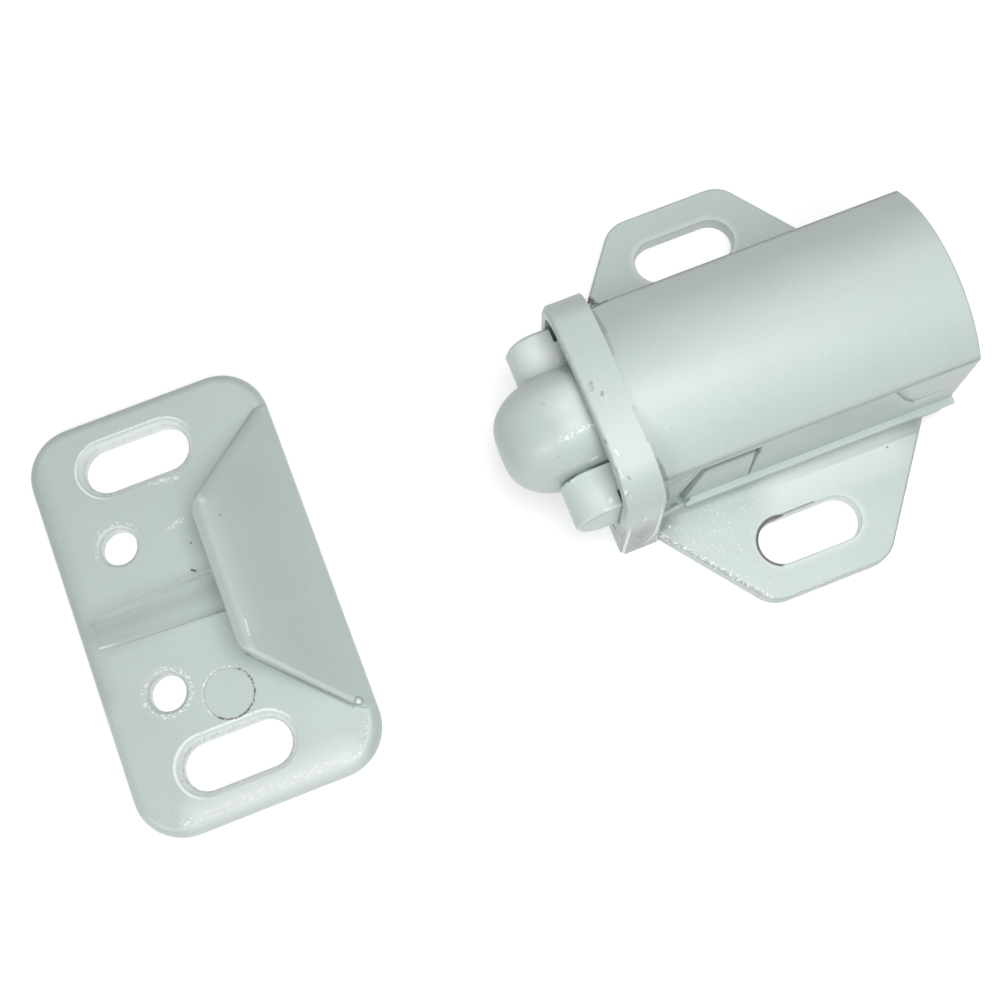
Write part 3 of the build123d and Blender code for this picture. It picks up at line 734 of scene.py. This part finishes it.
# brown-black specks, part of the ejector mark's rim and a patch on the far corner's rim
strike_dark_marks = [
    dict(start=(-57.82, 5.47, 2), width=0.14, strength=0.7),
    dict(start=(-58.3, 2.6, 2), end=(-58.65, 2.85, 2), width=0.13, strength=0.9),
    dict(start=(-53.64, 5.62, 6.93), width=0.12, strength=0.6),
    dict(start=(-59.12, -10.15, 2), radius=2.55, width=0.13, ragged=0.46, side=(0.9, -0.9, 0), strength=0.8),
    dict(start=(-47.6, 19.0, 1.4), end=(-49.2, 20.8, 1.2), width=0.4, ragged=0.44, strength=0.7),
]


def finish_with(piece, material):
    """Gives a piece its material."""
    piece.data.materials.append(material)


finish_with(
    housing,
    white_plastic(
        "housing_plastic",
        housing_tone,
        painted_highlights=housing_painted_highlights,
        shaded=housing_shaded,
        marks_and_gap_shade=housing_marks_and_gap_shade,
        painted_glints=housing_painted_glints,
    ),
)
finish_with(
    plunger,
    white_plastic("plunger_plastic", plunger_tone, painted_highlights=plunger_painted_highlights, marks_and_gap_shade=plunger_dark_marks),
)
finish_with(
    roller,
    white_plastic("roller_plastic", roller_tone, gloss=0.36, painted_highlights=roller_painted_highlights, shaded=roller_shaded),
)
finish_with(
    strike,
    white_plastic(
        "strike_plastic", strike_tone, painted_highlights=strike_painted_highlights, shaded=strike_shaded, marks_and_gap_shade=strike_dark_marks
    ),
)
finish_with(spring, drawn_steel("spring_steel"))


# Floor, light and camera

white = (1, 1, 1, 1)


def sheet_of(name, half, z):
    """A square lying at height z, half its side each way from the middle of the object."""
    middle = (cad_box[0] + cad_box[1]) / 2
    signs = ((-1, -1), (1, -1), (1, 1), (-1, 1))
    corners = [(middle.x + sx * half, middle.y + sy * half, z) for sx, sy in signs]
    mesh = bpy.data.meshes.new(name)
    mesh.from_pydata(corners, [], [(0, 1, 2, 3)])
    sheet = bpy.data.objects.new(name, mesh)
    scene.collection.objects.link(sheet)
    return sheet


# the paper lies just under the mounting plane, and glows for camera, glossy and transmission
# rays and not for diffuse ones; its glow grows with the distance from the origin, to keep it
# white past the lamps' reach
near_glow, added_glow = 0.45, 0.55
glow_from, glow_run = 0.15, 0.3
floor = sheet_of("floor", half=3.0, z=-0.00005)
paper, paper_tree, paper_shader = new_material("paper")
paper_shader["Base Color"].default_value = (0.8, 0.8, 0.8, 1)
paper_shader["Roughness"].default_value = 0.9
paper_shader["Specular IOR Level"].default_value = 0.0
ray = add_node(paper_tree, "ShaderNodeLightPath").outputs
paper_seen = calculate(paper_tree, "MAXIMUM", ray["Is Camera Ray"], ray["Is Glossy Ray"])
paper_seen = calculate(paper_tree, "MAXIMUM", paper_seen, ray["Is Transmission Ray"])
distance = add_node(paper_tree, "ShaderNodeVectorMath", operation="LENGTH")
paper_tree.links.new(add_node(paper_tree, "ShaderNodeTexCoord").outputs["Object"], distance.inputs[0])
past = calculate(paper_tree, "SUBTRACT", distance.outputs["Value"], glow_from)
beyond = calculate(paper_tree, "DIVIDE", past, glow_run, clamp=True)
glow = calculate(paper_tree, "ADD", calculate(paper_tree, "MULTIPLY", beyond, added_glow), near_glow)
shown_glow = calculate(paper_tree, "MULTIPLY", paper_seen, glow)
paper_tree.links.new(shown_glow, paper_shader["Emission Strength"])
paper_shader["Emission Color"].default_value = white
floor.data.materials.append(paper)


def lamp(name, place, aim, size, power):
    """A square soft lamp at a place, facing a point, with its power in watts."""
    data = bpy.data.lights.new(name, "AREA")
    data.shape = "SQUARE"
    data.size = size
    data.energy = power
    lamp_object = bpy.data.objects.new(name, data)
    scene.collection.objects.link(lamp_object)
    lamp_object.location = place
    direction = Vector(aim) - Vector(place)
    lamp_object.rotation_euler = direction.to_track_quat("-Z", "Y").to_euler()


# each lamp: name, where on the X axis it aims, height angle and bearing in degrees as seen
# from there, distance, width and watts. The watts were fitted by least squares, from each
# lamp's own render to tones of the photograph, then scaled alike and rounded; the rest was set
# one by one
aim_height = 0.005
lamps = (
    ("front_near_low", -0.020, 28, 210, 0.32, 0.13, 0.25),
    ("near", -0.020, 55, 270, 0.32, 0.13, 0.16),
    ("overhead", 0.005, 88, 0, 0.22, 0.10, 0.12),
    ("far_right", -0.020, 55, 45, 0.32, 0.13, 0.10),
    ("overhead_front", -0.030, 78, 225, 0.22, 0.10, 0.084),
    ("overhead_near", 0.005, 78, 270, 0.22, 0.10, 0.095),
    ("near_right", -0.020, 55, 315, 0.32, 0.13, 0.047),
    ("near_low", -0.020, 28, 240, 0.32, 0.13, 0.034),
)
for name, aim_x, height_angle, bearing, reach, width, watts in lamps:
    rise, round_z = np.radians((height_angle, bearing))
    way = np.array((np.cos(rise) * np.cos(round_z), np.cos(rise) * np.sin(round_z), np.sin(rise)))
    aim = np.array((aim_x, 0, aim_height))
    lamp(name + "_lamp", tuple(aim + reach * way), tuple(aim), width, watts)

# the world shows white to the camera and gives the object only a little light
world_light, added_for_camera = 0.03, 0.97
world = bpy.data.worlds.new("studio")
scene.world = world
world.use_nodes = True
world_tree = world.node_tree
background = world_tree.nodes["Background"]
background.inputs["Color"].default_value = white
camera_ray = add_node(world_tree, "ShaderNodeLightPath").outputs["Is Camera Ray"]
shown_light = calculate(world_tree, "MULTIPLY", camera_ray, added_for_camera)
strength = calculate(world_tree, "ADD", shown_light, world_light)
world_tree.links.new(strength, background.inputs["Strength"])

scene.view_settings.view_transform = "Standard"

# the camera's place, lens and directions were fitted to the outlines of both halves
camera_place = (-0.03736, -0.03912, 0.15398)
right = Vector((0.93144, -0.36277, -0.02850)).normalized()
forward = Vector((0.06298, 0.23785, -0.96926)).normalized()
up = right.cross(forward)
camera_data = bpy.data.cameras.new("camera")
camera_data.sensor_width = 36.0
camera_data.lens = 56.38
camera_data.clip_start = 0.01
camera = bpy.data.objects.new("camera", camera_data)
scene.collection.objects.link(camera)
camera.matrix_world = Matrix.Translation(camera_place) @ Matrix(
    ((right.x, up.x, -forward.x), (right.y, up.y, -forward.y), (right.z, up.z, -forward.z))
).to_4x4()
scene.camera = camera
